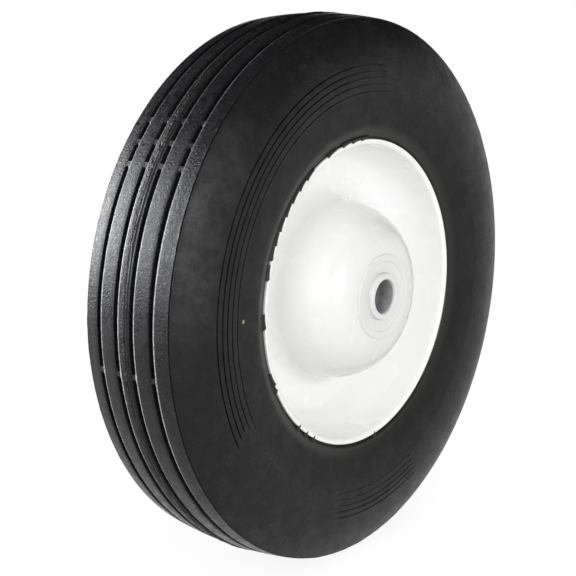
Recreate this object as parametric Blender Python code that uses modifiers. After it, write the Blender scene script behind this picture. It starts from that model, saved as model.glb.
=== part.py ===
"""A wheelbarrow wheel: a solid rubber tyre on a two-piece pressed steel disc wheel with a flanged
ball bearing in each side of its hub.

Every turned shape is drawn in a plane that holds the axle: X is the radius and Z is the distance from
the wheel's middle, outwards. Empties lay that Z along the axle, which runs along world Y, so one mesh
serves both sides of the wheel. All sizes are in metres.
"""

import math

import bmesh
import bpy
from mathutils import Matrix, Vector

# Gap between pieces that touch
SEAT_GAP = 0.0003

# Pressed wheel half: sheet, lip, dish and dome
SHEET = 0.0012
LIP_RADIUS = 0.0710
LIP_OFFSET = 0.0271
LIP_WIDTH = 0.0024
LIP_BEND = 0.0016
DISH_SQUARENESS = 2.5
DOME_RADIUS = 0.0418
DOME_WIDEST_OFFSET = 0.0105
DOME_SQUARENESS = 2.0
DOME_FLAT_MARGIN = 0.0006
HUB_FACE_OFFSET = 0.0374
HUB_MOUTH_BEND = 0.0013
COLLAR_DEPTH = 0.0070

# Tyre, seen in section
TYRE_RADIUS = 0.127
TREAD_HALF_WIDTH = 0.0232
CROWN_RADIUS = 0.150
SHOULDER_EDGE = 0.0006
SIDEWALL_WIDEST_RADIUS = 0.098
SIDEWALL_BULGE = 0.00315
BEAD_STANDOFF = 0.0008
BEAD_ROUND = 0.0024
BEAD_CLEARANCE = 0.0005
TYRE_BASE_WIDTH = 0.0066

# Tread ribs and grooves, and the tie bars that bridge the grooves
CENTRE_RIB_WIDTH = 0.0068
INNER_RIB_WIDTH = 0.0084
GROOVE_WIDTH = 0.0020
GROOVE_DEPTH = 0.0035
TIE_LENGTH = 0.0024
TIE_SETBACK = 0.00005
TIE_GROUP_ANGLE = 143.0
TIE_GROUP_PITCH = 4.9
TIE_GROUP_COUNT = 3
TIE_SINGLE_ANGLE = 187.3
TIE_REPEATS = 2

# Bearing: walls and shoulders of its two rings, its balls and its dust shield
BORE_RADIUS = 0.00795
BORE_CHAMFER = 0.00035
RING_WALL = 0.00257
RING_SHOULDER = 0.0020
RING_COLLAR_WALL = 0.00285
RING_NOSE_TAPER = 0.0010
RING_STANDOUT = 0.0018
RING_LENGTH = 0.0094
BALL_COUNT = 9
BALL_RADIUS = 0.00278
BALL_DEPTH = 0.0044
CUP_WALL = 0.00077
CUP_SHOULDER = 0.0014
CUP_DEPTH = 0.0090
CUP_FLANGE_REACH = 0.0022
CUP_FLANGE = 0.0008
CUP_EDGE = 0.0003
SHIELD_LEDGE = 0.0012
SHIELD_CLEARANCE = 0.00022
SHIELD_THICKNESS = 0.0007
SHIELD_RECESS = 0.0003

# Ball cage
CAGE_HALF_THICKNESS = 0.0010
CAGE_WEB = 0.0010
CAGE_LIP = 0.0006
POCKET_CLEARANCE = 0.0003

# Spacer tube between the inner rings
TUBE_WALL = 0.0014
TUBE_CLEARANCE = 0.00015

# Sizes that follow from those above
DISH_WALL_RADIUS = LIP_RADIUS - LIP_WIDTH
BALL_PITCH_RADIUS = BORE_RADIUS + RING_WALL + SEAT_GAP + BALL_RADIUS
BALL_OFFSET = HUB_FACE_OFFSET - BALL_DEPTH
RING_LAND_RADIUS = BALL_PITCH_RADIUS - RING_SHOULDER
RING_COLLAR_RADIUS = BORE_RADIUS + RING_COLLAR_WALL
RING_FRONT_OFFSET = HUB_FACE_OFFSET + RING_STANDOUT
RING_REAR_OFFSET = RING_FRONT_OFFSET - RING_LENGTH
CUP_LAND_RADIUS = BALL_PITCH_RADIUS + CUP_SHOULDER
CUP_RADIUS = BALL_PITCH_RADIUS + BALL_RADIUS + SEAT_GAP + CUP_WALL
CUP_FLANGE_RADIUS = CUP_RADIUS + CUP_FLANGE_REACH
CUP_FRONT_OFFSET = HUB_FACE_OFFSET + SEAT_GAP + CUP_FLANGE
SHIELD_SEAT_RADIUS = CUP_LAND_RADIUS + SHIELD_LEDGE
SHIELD_SEAT_OFFSET = BALL_OFFSET + BALL_RADIUS + SHIELD_CLEARANCE
DOME_FLAT_RADIUS = CUP_FLANGE_RADIUS + DOME_FLAT_MARGIN
DOME_FILLET = DOME_WIDEST_OFFSET - SEAT_GAP / 2 - SHEET
CENTRE_RIB_EDGE = CENTRE_RIB_WIDTH / 2
INNER_GROOVE_OFFSET = CENTRE_RIB_EDGE + GROOVE_WIDTH / 2
OUTER_GROOVE_OFFSET = INNER_GROOVE_OFFSET + GROOVE_WIDTH + INNER_RIB_WIDTH

# Facets round each turned piece
TYRE_STEPS = 44
WHEEL_STEPS = 30
BEARING_STEPS = 20

# Facets along the curves of a section
EDGE_STEPS = 2
DOME_STEPS = 6
FILLET_STEPS = 3
DISH_STEPS = 4
UPPER_SIDEWALL_STEPS = 4
LOWER_SIDEWALL_STEPS = 2
BEAD_STEPS = 3
RACE_STEPS = 4
POCKET_FACETS = 10
BALL_SUBDIVISIONS = 2

PART_NAME = "wheelbarrow_wheel"


def clear_scene():
    for obj in list(bpy.data.objects):
        bpy.data.objects.remove(obj, do_unlink=True)


def new_collection(name):
    collection = bpy.data.collections.new(name)
    bpy.context.scene.collection.children.link(collection)
    return collection


def material(name, colour, roughness, metallic=0.0):
    """A Principled material with the piece's plain colour."""
    made = bpy.data.materials.new(name)
    made.use_nodes = True
    shader = made.node_tree.nodes["Principled BSDF"]
    shader.inputs["Base Color"].default_value = (*colour, 1.0)
    shader.inputs["Roughness"].default_value = roughness
    shader.inputs["Metallic"].default_value = metallic
    return made


def add_object(name, mesh, collection, parent=None):
    obj = bpy.data.objects.new(name, mesh)
    collection.objects.link(obj)
    obj.parent = parent
    return obj


def add_empty(name, collection, parent=None, rotation=(0.0, 0.0, 0.0)):
    empty = bpy.data.objects.new(name, None)
    empty.empty_display_size = 0.02
    empty.rotation_euler = rotation
    empty.parent = parent
    collection.objects.link(empty)
    return empty


# Points of a profile are (radius, offset) pairs


def arc(centre, radius, start_deg, end_deg, steps):
    """Points on a circle, from start to end, both included."""
    points = []
    for i in range(steps + 1):
        angle = math.radians(start_deg + (end_deg - start_deg) * i / steps)
        points.append((centre[0] + radius * math.cos(angle), centre[1] + radius * math.sin(angle)))
    return points


def superellipse(centre, half_width, half_height, power, steps):
    """A quarter curve from straight below the centre to straight beside it."""
    points = []
    for i in range(steps + 1):
        angle = 0.5 * math.pi * i / steps
        across = math.sin(angle) ** (2 / power)
        down = math.cos(angle) ** (2 / power)
        points.append((centre[0] + half_width * across, centre[1] - half_height * down))
    return points


def arc_to_tip(end, tip, steps):
    """A round stretch from end to tip, where it runs straight towards or away from the axle."""
    rise = tip[1] - end[1]
    run = end[0] - tip[0]
    radius = (rise**2 + run**2) / (2 * rise)
    centre = (tip[0], tip[1] - radius)
    end_deg = math.degrees(math.atan2(end[1] - centre[1], end[0] - centre[0]))
    return arc(centre, radius, end_deg, 90.0, steps)


def offset_path(points, distance):
    """The same path moved sideways, to the right of its direction of travel."""
    moved = []
    for i, point in enumerate(points):
        before = Vector(points[max(i - 1, 0)])
        after = Vector(points[min(i + 1, len(points) - 1)])
        along = (after - before).normalized()
        moved.append((point[0] + along.y * distance, point[1] - along.x * distance))
    return moved


def profile_mesh(name, points, closed):
    mesh = bpy.data.meshes.new(name)
    made = bmesh.new()
    verts = [made.verts.new((radius, 0.0, offset)) for radius, offset in points]
    for a, b in zip(verts, verts[1:]):
        made.edges.new((a, b))
    if closed:
        made.edges.new((verts[-1], verts[0]))
    made.to_mesh(mesh)
    made.free()
    return mesh


def turn(obj, steps):
    """Turns the object's profile once round its Z."""
    screw = obj.modifiers.new("turn", "SCREW")
    screw.axis = "Z"
    screw.angle = math.tau
    screw.steps = steps
    screw.render_steps = steps
    screw.use_merge_vertices = True
    screw.merge_threshold = 1e-5
    screw.use_smooth_shade = True
    return obj


def apply_modifiers(obj):
    """Keeps what the modifiers make as the object's own mesh."""
    graph = bpy.context.evaluated_depsgraph_get()
    mesh = bpy.data.meshes.new_from_object(obj.evaluated_get(graph))
    mesh.name = obj.name
    obj.modifiers.clear()
    obj.data = mesh


def shade(mesh, sharp_deg=32.0):
    mesh.shade_smooth()
    mesh.set_sharp_from_angle(angle=math.radians(sharp_deg))


def turned_piece(name, points, steps, collection, parent, surface):
    """A solid ring: a closed profile that runs down its outer side."""
    obj = add_object(name, profile_mesh(name, points, closed=True), collection, parent)
    turn(obj, steps)
    apply_modifiers(obj)
    shade(obj.data)
    obj.data.materials.append(surface)
    return obj


def copy_piece(source, name, collection, parent):
    """The same mesh as a piece of its own, on the other side of the wheel."""
    made = add_object(name, source.data, collection, parent)
    made.location = source.location
    return made


def tread_radius(offset):
    """The crowned tread: the centre rib is flat, and the ribs beside it fall away."""
    return TYRE_RADIUS - crown_drop(offset) + crown_drop(CENTRE_RIB_EDGE)


def crown_drop(offset):
    return CROWN_RADIUS - math.sqrt(CROWN_RADIUS**2 - offset**2)


def dish_path():
    """The dish's visible face, from the foot of the dome to the bend of its lip."""
    foot = (DOME_RADIUS + DOME_FILLET, SEAT_GAP / 2 + SHEET)
    centre = (foot[0], LIP_OFFSET - LIP_BEND)
    width = DISH_WALL_RADIUS - foot[0]
    return superellipse(centre, width, centre[1] - foot[1], DISH_SQUARENESS, DISH_STEPS)


def wheel_half_profile():
    """The visible face of one pressed half, from the bearing's collar out to the lip."""
    collar_radius = CUP_RADIUS + SEAT_GAP
    mouth = (collar_radius + HUB_MOUTH_BEND, HUB_FACE_OFFSET - HUB_MOUTH_BEND)
    points = [(collar_radius, HUB_FACE_OFFSET - COLLAR_DEPTH)]
    points += arc(mouth, HUB_MOUTH_BEND, 180, 90, EDGE_STEPS)
    dome_centre = (DOME_FLAT_RADIUS, -DOME_WIDEST_OFFSET)
    dome_height = HUB_FACE_OFFSET - DOME_WIDEST_OFFSET
    dome_width = DOME_RADIUS - DOME_FLAT_RADIUS
    dome = superellipse(dome_centre, dome_width, dome_height, DOME_SQUARENESS, DOME_STEPS)
    points += [(radius, -offset) for radius, offset in dome]
    fillet_centre = (DOME_RADIUS + DOME_FILLET, DOME_WIDEST_OFFSET)
    points += arc(fillet_centre, DOME_FILLET, 180, 270, FILLET_STEPS)[1:]
    points += dish_path()[1:]
    lip_centre = (DISH_WALL_RADIUS + LIP_BEND, LIP_OFFSET - LIP_BEND)
    points += arc(lip_centre, LIP_BEND, 180, 90, EDGE_STEPS)[1:]
    points.append((LIP_RADIUS, LIP_OFFSET))
    return points


def make_wheel_half(collection, parent, surface):
    """One half is a thin sheet: its visible face is turned, and Solidify gives it its back."""
    mesh = profile_mesh("near_rim_half", wheel_half_profile(), closed=False)
    obj = add_object("near_rim_half", mesh, collection, parent)
    turn(obj, WHEEL_STEPS)
    shell = obj.modifiers.new("sheet", "SOLIDIFY")
    shell.thickness = SHEET
    shell.offset = -1.0
    shell.use_even_offset = True
    apply_modifiers(obj)
    shade(obj.data)
    obj.data.materials.append(surface)
    return obj


def tread_points():
    """Half of the tread in section, from the centre rib's edge out to the shoulder."""
    points = []
    floor_radius = TYRE_RADIUS - GROOVE_DEPTH
    for groove in (INNER_GROOVE_OFFSET, OUTER_GROOVE_OFFSET):
        near_edge = groove - GROOVE_WIDTH / 2
        far_edge = groove + GROOVE_WIDTH / 2
        points.append((tread_radius(near_edge), near_edge))
        points.append((floor_radius, near_edge))
        points.append((floor_radius, far_edge))
        points.append((tread_radius(far_edge), far_edge))
    edge = TREAD_HALF_WIDTH - SHOULDER_EDGE
    points.append((tread_radius(edge), edge))
    return points


def sidewall_points():
    """From the shoulder over the widest place and down to the rounded bead beside the lip."""
    shoulder = (tread_radius(TREAD_HALF_WIDTH) - SHOULDER_EDGE / 2, TREAD_HALF_WIDTH)
    bead_radius = LIP_RADIUS + BEAD_CLEARANCE
    under_lip = LIP_OFFSET - SHEET - BEAD_CLEARANCE
    bead_offset = LIP_OFFSET + BEAD_STANDOFF
    roll = min(BEAD_ROUND, bead_offset - under_lip)
    bead = (bead_radius + roll, bead_offset)
    widest = (SIDEWALL_WIDEST_RADIUS, bead[1] + SIDEWALL_BULGE)
    points = arc_to_tip(shoulder, widest, UPPER_SIDEWALL_STEPS)
    lower = arc_to_tip((2 * widest[0] - bead[0], bead[1]), widest, LOWER_SIDEWALL_STEPS)
    points += [(2 * widest[0] - radius, offset) for radius, offset in reversed(lower[:-1])]
    points += arc((bead[0], bead[1] - roll), roll, 90, 180, BEAD_STEPS)[1:-1]
    points.append((bead_radius, under_lip))
    return points


def seat_points():
    """The tyre's underside, down the back of the dish to where the rubber is as narrow as its base."""
    base_offset = TYRE_BASE_WIDTH / 2
    seat = offset_path(list(reversed(dish_path())), -(SHEET + BEAD_CLEARANCE))
    points = [point for point in seat if point[1] > base_offset]
    last = points[-1]
    following = seat[len(points)]
    share = (last[1] - base_offset) / (last[1] - following[1])
    points.append((last[0] + share * (following[0] - last[0]), base_offset))
    return points


def tyre_profile():
    """The tyre's whole section, down its outer side and back up its underside."""
    half = tread_points() + sidewall_points() + seat_points()
    mirrored = [(radius, -offset) for radius, offset in half]
    return list(reversed(half)) + mirrored


def tie_angles():
    """Where tie bars cross the grooves, in degrees round the axle from world +X towards +Z."""
    middle = (TIE_GROUP_COUNT - 1) / 2
    group = [TIE_GROUP_ANGLE + TIE_GROUP_PITCH * (i - middle) for i in range(TIE_GROUP_COUNT)]
    group.append(TIE_SINGLE_ANGLE)
    return [angle + 360.0 * repeat / TIE_REPEATS for repeat in range(TIE_REPEATS) for angle in group]


def make_tie_bars(helpers, parent):
    """Blocks that fill each groove for a short way, level with the ribs beside it."""
    bars = bpy.data.collections.new("tie_bars")
    helpers.children.link(bars)
    overlap = GROOVE_WIDTH / 4
    mesh = bpy.data.meshes.new("tie_bar")
    block = bmesh.new()
    bmesh.ops.create_cube(block, size=1.0)
    height = GROOVE_DEPTH + overlap
    size = (height, TIE_LENGTH, GROOVE_WIDTH + 2 * overlap)
    bmesh.ops.transform(block, matrix=Matrix.Diagonal((*size, 1.0)), verts=block.verts)
    block.to_mesh(mesh)
    block.free()
    grooves = (INNER_GROOVE_OFFSET, OUTER_GROOVE_OFFSET)
    for offset in [sign * groove for groove in grooves for sign in (1, -1)]:
        outer_edge = abs(offset) + GROOVE_WIDTH / 2 + overlap
        top = tread_radius(outer_edge) * math.cos(math.pi / TYRE_STEPS) - TIE_SETBACK
        for angle in tie_angles():
            bar = add_object("tie_bar", mesh, bars, parent)
            turned = Matrix.Rotation(-math.radians(angle), 4, "Z")
            bar.matrix_local = turned @ Matrix.Translation((top - height / 2, 0.0, offset))
            bar.display_type = "WIRE"
            bar.hide_render = True
    return bars


def make_tyre(collection, helpers, parent, surface):
    mesh = profile_mesh("tyre", tyre_profile(), closed=True)
    obj = add_object("tyre", mesh, collection, parent)
    turn(obj, TYRE_STEPS)
    ties = obj.modifiers.new("tie_bars", "BOOLEAN")
    ties.operation = "UNION"
    ties.operand_type = "COLLECTION"
    ties.collection = make_tie_bars(helpers, parent)
    ties.solver = "EXACT"
    bpy.context.view_layer.update()
    apply_modifiers(obj)
    shade(obj.data, 25.0)
    obj.data.materials.append(surface)
    return obj


def race_arc(side, shoulder):
    """A ball groove's section, top to bottom: side is 1 in the cup and -1 in the inner ring."""
    radius = BALL_RADIUS + SEAT_GAP
    reach = math.degrees(math.acos(shoulder / radius))
    middle = 0.0 if side > 0 else 180.0
    start, end = middle + side * reach, middle - side * reach
    return arc((BALL_PITCH_RADIUS, BALL_OFFSET), radius, start, end, RACE_STEPS)


def cup_profile():
    """The flanged outer race: its flange lies on the hub face and its body in the collar."""
    front = CUP_FRONT_OFFSET
    under = front - CUP_FLANGE
    rim = (CUP_FLANGE_RADIUS - CUP_EDGE, front - CUP_EDGE)
    points = arc(rim, CUP_EDGE, 90, 0, EDGE_STEPS)
    points += [(CUP_FLANGE_RADIUS, under), (CUP_RADIUS, under)]
    rear = HUB_FACE_OFFSET - CUP_DEPTH
    points += [(CUP_RADIUS, rear), (CUP_LAND_RADIUS, rear)]
    points += reversed(race_arc(1, CUP_SHOULDER))
    points += [(CUP_LAND_RADIUS, SHIELD_SEAT_OFFSET), (SHIELD_SEAT_RADIUS, SHIELD_SEAT_OFFSET)]
    points += [(SHIELD_SEAT_RADIUS, front - CUP_EDGE), (SHIELD_SEAT_RADIUS + CUP_EDGE, front)]
    return points


def shield_profile():
    """A ring on the cup's shoulder that closes the bearing: its face falls from the flange to the collar."""
    outer = SHIELD_SEAT_RADIUS - SEAT_GAP
    inner = RING_COLLAR_RADIUS + SEAT_GAP
    bottom = SHIELD_SEAT_OFFSET + SEAT_GAP
    inner_top = bottom + SHIELD_THICKNESS
    outer_top = max(CUP_FRONT_OFFSET - SHIELD_RECESS, inner_top)
    return [(outer, outer_top), (outer, bottom), (inner, bottom), (inner, inner_top)]


def ring_profile():
    """The inner ring: a raceway low down, and a collar that stands out past the shield."""
    shoulder = SHIELD_SEAT_OFFSET - SEAT_GAP
    points = [(RING_COLLAR_RADIUS - RING_NOSE_TAPER, RING_FRONT_OFFSET)]
    points.append((RING_COLLAR_RADIUS, RING_FRONT_OFFSET - RING_NOSE_TAPER))
    points += [(RING_COLLAR_RADIUS, shoulder), (RING_LAND_RADIUS, shoulder)]
    points += race_arc(-1, RING_SHOULDER)
    points += [(RING_LAND_RADIUS, RING_REAR_OFFSET), (BORE_RADIUS, RING_REAR_OFFSET)]
    points.append((BORE_RADIUS, RING_FRONT_OFFSET - BORE_CHAMFER))
    points.append((BORE_RADIUS + BORE_CHAMFER, RING_FRONT_OFFSET))
    return points


def make_ball_mesh():
    mesh = bpy.data.meshes.new("ball")
    made = bmesh.new()
    bmesh.ops.create_icosphere(made, subdivisions=BALL_SUBDIVISIONS, radius=BALL_RADIUS)
    made.to_mesh(mesh)
    made.free()
    mesh.shade_smooth()
    return mesh


def ball_places():
    """The centres of the balls in one bearing, evenly spaced round the axle."""
    places = []
    for i in range(BALL_COUNT):
        angle = math.tau * i / BALL_COUNT
        radius = BALL_PITCH_RADIUS
        places.append((radius * math.cos(angle), radius * math.sin(angle), BALL_OFFSET))
    return places


def make_cage(collection, helpers, parent, surface):
    """A crown cage: a ring behind the balls whose round pockets go through and open to the front."""
    pocket = BALL_RADIUS + POCKET_CLEARANCE
    bottom = BALL_OFFSET - pocket - CAGE_WEB
    top = BALL_OFFSET + CAGE_LIP
    outer = BALL_PITCH_RADIUS + CAGE_HALF_THICKNESS
    inner = BALL_PITCH_RADIUS - CAGE_HALF_THICKNESS
    section = [(outer, top), (outer, bottom), (inner, bottom), (inner, top)]
    obj = add_object("near_ball_cage", profile_mesh("cage", section, closed=True), collection, parent)
    turn(obj, 2 * BALL_COUNT)
    cutters = bpy.data.collections.new("cage_pockets")
    helpers.children.link(cutters)
    mesh = bpy.data.meshes.new("pocket")
    made = bmesh.new()
    bmesh.ops.create_cone(made, cap_ends=True, segments=POCKET_FACETS, radius1=pocket,
                          radius2=pocket, depth=4 * CAGE_HALF_THICKNESS)
    bmesh.ops.rotate(made, matrix=Matrix.Rotation(math.pi / 2, 3, "Y"), verts=made.verts)
    made.to_mesh(mesh)
    made.free()
    for place in ball_places():
        cutter = add_object("cage_pocket", mesh, cutters, parent)
        cutter.location = place
        cutter.rotation_euler.z = math.atan2(place[1], place[0])
        cutter.display_type = "WIRE"
        cutter.hide_render = True
    cut = obj.modifiers.new("pockets", "BOOLEAN")
    cut.operation = "DIFFERENCE"
    cut.operand_type = "COLLECTION"
    cut.collection = cutters
    cut.solver = "EXACT"
    bpy.context.view_layer.update()
    apply_modifiers(obj)
    shade(obj.data)
    obj.data.materials.append(surface)
    return obj


def tube_profile():
    """The spacer tube in section: it keeps the two inner rings apart when the axle is tightened."""
    end = RING_REAR_OFFSET - SEAT_GAP
    bore = BORE_RADIUS + TUBE_CLEARANCE
    outer = bore + TUBE_WALL
    return [(outer, end), (outer, -end), (bore, -end), (bore, end)]


def make_bearing(collection, helpers, sides, spins):
    """The near bearing's pieces, and a copy of each on the far side."""
    white = material("bearing_white_paint", (0.86, 0.87, 0.86), 0.35)
    steel = material("bearing_bare_steel", (0.55, 0.55, 0.56), 0.3, 1.0)
    nylon = material("cage_nylon", (0.75, 0.72, 0.62), 0.5)
    turned = (("bearing_cup", cup_profile()), ("bearing_shield", shield_profile()),
              ("inner_ring", ring_profile()))
    for name, points in turned:
        near = turned_piece("near_" + name, points, BEARING_STEPS, collection, sides["near"], white)
        copy_piece(near, "far_" + name, collection, sides["far"])
    cage = make_cage(collection, helpers, spins["near"], nylon)
    copy_piece(cage, "far_ball_cage", collection, spins["far"])
    ball = make_ball_mesh()
    ball.materials.append(steel)
    for side, spin in spins.items():
        for number, place in enumerate(ball_places(), start=1):
            made = add_object(f"{side}_ball_{number}", ball, collection, spin)
            made.location = place


def main():
    clear_scene()
    part = new_collection(PART_NAME)
    helpers = new_collection("cutters")
    axle = add_empty("axle_line", part)
    outward = {"near": (math.pi / 2, 0.0, 0.0), "far": (-math.pi / 2, 0.0, 0.0)}
    sides = {side: add_empty(side + "_side", part, axle, turn_to) for side, turn_to in outward.items()}
    spins = {side: add_empty(side + "_ball_spin", part, sides[side]) for side in sides}
    bpy.context.view_layer.update()

    white_paint = material("white_wheel_paint", (0.88, 0.89, 0.88), 0.3)
    rubber = material("black_rubber", (0.022, 0.022, 0.024), 0.6)
    bare_tube = material("spacer_bare_steel", (0.42, 0.42, 0.43), 0.45, 1.0)

    make_tyre(part, helpers, sides["far"], rubber)
    near_half = make_wheel_half(part, sides["near"], white_paint)
    copy_piece(near_half, "far_rim_half", part, sides["far"])
    make_bearing(part, helpers, sides, spins)
    turned_piece("spacer_tube", tube_profile(), BEARING_STEPS, part, sides["far"], bare_tube)


main()
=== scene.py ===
"""Looks for the wheelbarrow wheel: fine turned surfaces, materials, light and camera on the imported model.

The wheel's centre is the origin, its axle line is Y, and the side that the photograph shows faces -Y.
A profile point is (radius, offset): its distance from the axle line, and how far it lies from the middle
plane towards its own side. Angles go round the axle from +X towards +Z. Sizes are in metres.
"""

import math
from types import SimpleNamespace

import bmesh
import bpy
import numpy as np
from mathutils import Matrix, Vector, noise


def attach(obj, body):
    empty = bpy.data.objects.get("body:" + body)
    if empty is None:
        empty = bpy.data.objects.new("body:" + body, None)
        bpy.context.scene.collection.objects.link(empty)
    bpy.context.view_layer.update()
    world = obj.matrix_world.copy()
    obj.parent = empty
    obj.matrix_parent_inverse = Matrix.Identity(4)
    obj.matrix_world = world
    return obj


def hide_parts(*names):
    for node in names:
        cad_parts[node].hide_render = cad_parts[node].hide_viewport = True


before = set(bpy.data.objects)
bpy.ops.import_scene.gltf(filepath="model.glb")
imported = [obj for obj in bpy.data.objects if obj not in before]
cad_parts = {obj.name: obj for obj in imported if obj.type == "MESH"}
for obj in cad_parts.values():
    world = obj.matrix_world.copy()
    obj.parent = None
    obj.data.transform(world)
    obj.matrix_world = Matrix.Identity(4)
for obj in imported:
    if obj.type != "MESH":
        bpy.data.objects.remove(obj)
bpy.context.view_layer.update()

NEAR, FAR = -1, 1

# The tread
TYRE_RADIUS = 0.127
CROWN_RADIUS = 0.150
CENTRE_RIB_EDGE = 0.0034
TREAD_HALF = 0.0232
GROOVES = (0.0044, 0.0148)
GROOVE_DEPTH = 0.0035
GROOVE_WALL = 0.00125
GROOVE_CRISP = 0.00025
# A worn edge: distance from the groove's middle, and depth
GROOVE_SOFT = ((0.00174, 0.0), (0.00162, 0.00002), (0.00154, 0.00005), (0.00088, 0.00031),
               (0.00078, 0.00037), (0.00060, 0.00055), (0.00047, 0.00085), (0.00040, 0.00125))
# Further rows that keep the crown round between a groove and the next, by the groove before them
RIB_MIDDLES = {GROOVES[0]: (0.0079, 0.0113), GROOVES[1]: (0.0185, 0.0208)}
TIE_ANGLES = (138.1, 143.1, 147.9, 187.3, 318.1, 323.1, 327.9, 7.3)
TIE_HALF_LENGTH = 0.0011
# A tie bar's foot, in radians, and the power that shapes it, at the crisp and at the worn edges
CRISP_FOOT = (0.0025, 2.5)
WORN_FOOT = (0.0120, 1.6)
# The middle rib from its far edge to its near one: offset, height, share of roughness and share of wander.
# It has a torn band in the middle, then a narrow ditch and a ridge of flash.
MIDDLE_RIB = (
    (0.0025, 0.0, 0.0, 0.0), (0.0021, 0.0, 0.0, 0.0),
    *((offset, 0.0, 1.0, 0.0) for offset in np.arange(0.0018, -0.0003, -0.0003)),
    (-0.00052, -0.00006, 0.2, 0.5), (-0.00064, -0.00045, 0.0, 1.0), (-0.00082, -0.00040, 0.0, 1.0),
    (-0.00096, 0.00012, 0.0, 1.0), (-0.00116, 0.00036, 0.0, 1.0), (-0.0015, 0.00048, 0.1, 1.0),
    (-0.00186, 0.00034, 0.1, 1.0), (-0.00212, 0.0, 0.0, 1.0), (-0.00224, -0.00022, 0.0, 1.0),
    (-0.00242, 0.0, 0.0, 0.3),
)

# The sidewall and the bead
WIDEST = (0.098, 0.03105)
BEAD = (0.0740, 0.0280)
BEAD_ROUND = 0.0020
ROLL_START = 0.0788
ROLL_END = 0.0732
# Degrees by which the bead's roll leans in at its end
ROLL_TILT = 15.0
ROLL_RADII = (0.0784, 0.0778, 0.0771, 0.0763, 0.0755, 0.0747, 0.0739, ROLL_END)
# Fine lines: radius, half width, depth, and the first and last angle of the long arc
SIDE_LINES = (
    (0.10475, 0.00026, 0.00085, 86.0, 208.2),
    (0.1018, 0.00026, 0.00080, 84.0, 206.9),
    (0.0990, 0.00024, 0.00068, 80.0, 206.2),
    (0.09605, 0.0002, 0.00052, 78.0, 206.2),
    (0.0928, 0.00018, 0.00046, 76.0, 208.2),
)
# The lines' shallow second arc: first and last angle, and share of the depth
SHORT_ARC = (254.5, 292.4)
SHORT_ARC_DEPTH = 0.38
LINE_BEVEL = 0.00008
TAG_ANGLES = (92.6, 98.0, 103.7, 112.8, 126.6, 131.8, 137.3, 142.8, 148.4, 153.6, 158.7, 165.6,
              182.4, 204.3, 206.9, 227.6, 233.2, 238.2, 277.7)
# Tags beyond this angle are thin needles
FIRST_NEEDLE_ANGLE = 210

# Colours and places of the rubber's marks and of its painted light
RUBBER_DARK = (0.0042, 0.0042, 0.0046)
RUBBER_PALE = (0.0078, 0.0078, 0.0082)
# Dust, also used for the sidewall's paler patch of dust and painted sheen
DUST_AND_SHEEN_TONE = (0.030, 0.0295, 0.0295)
GRAINS = (0.085, 0.084, 0.082)
SEAM_BLACK = (0.003, 0.003, 0.003)
# Painted highlight: the pale colour of the grooves' near edges, where they catch the light
EDGE_HIGHLIGHT_COLOUR = (0.27, 0.27, 0.275)
SPECK_TONE = (0.33, 0.31, 0.20)
# Painted reflection: the bead's roll is given a paler colour where it catches light
BEAD_REFLECTION_TONE = (0.024, 0.0235, 0.021)
# Places across the tread of the painted edge highlights
HIGHLIGHT_EDGE_PLACES = (-0.01602, -0.00562, 0.00318, 0.01358)
# Middle of the sidewall's paler patch: dust, and painted sheen where the sidewall catches the light
DUST_SHEEN_PLACE = (-0.1045, -0.0285, 0.0440)
SPECK_PLACE = (-0.0888, -0.0307, 0.0039)

# The pressed disc
SHEET = 0.0012
HALF_GAP = 0.00015
SEAT_DEPTH = 0.0017
LIP = (0.0710, 0.0271)
LIP_BEND = 0.0016
LIP_EDGE = 0.0002
WALL_RADIUS = 0.0686
DISH_POWER = 2 / 2.5
DOME_RADIUS = 0.0418
DOME_OFFSET = 0.0105
HUB_FACE = 0.0374
COLLAR_RADIUS = 0.01775
COLLAR_DEPTH = 0.0070
COLLAR_BEND = 0.0013
DISC_STEPS = 320

# The bearings
FLANGE_RADIUS = 0.01965
FLANGE_FRONT = HUB_FACE + 0.0011
FLANGE_BACK = HUB_FACE + 0.00004
CUP_END = 0.0284
CUP_LAND = 0.0150
MOUTH_RADIUS = 0.0162
MOUTH_FLOOR = 0.0360
RING_FRONT = 0.0392
RING_STEP = 0.0357
RING_END = 0.0298
RING_LAND = 0.0116
RING_RADIUS = 0.0108
RING_LINE = 0.01066
BORE = 0.00795
BORE_RELIEF = 0.00015
# The bore is bare, and painted darker beyond this depth as painted shade
BORE_SHADE_DEPTH = 0.0066
BALL_CENTRE = (0.0136, 0.0330)
RACE_RADIUS = 0.00285
# How far each ball groove reaches round the ball, to each side, in degrees
CUP_RACE = 60.6
RING_RACE = 45.4
TUBE_END = 0.0295
TUBE_RADII = (0.0095, 0.0081)

# The stage
WHITE = (1.0, 1.0, 1.0)
FLOOR_GAP = 0.0002
WORLD_STRENGTH = 0.21
LAMP_DISTANCE = 1.6
COOL = (0.94, 0.95, 1.0)
# Narrow lamps behind the tread's left side: azimuth, elevation and power
RIM_LAMPS = ((118, 24, 6.4), (124, 8, 9.7), (130, 18, 10.2), (142, 32, 11.6), (156, 14, 18.5))

# The camera, found from the outlines of the tread, the lip and the hub in the photograph
PHOTO_SIZE = 576
FOCAL_PIXELS = 1287.4
SENSOR = 36.0
CAMERA_AZIMUTH = -52.122
CAMERA_ELEVATION = 12.117
CAMERA_DISTANCE = 0.6123
# How far the camera looks past the wheel's centre, to the right and upwards, in degrees
CAMERA_AIM = (-1.3307, -0.105)
CAMERA_ROLL = -0.1717


# Mesh tools


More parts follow.
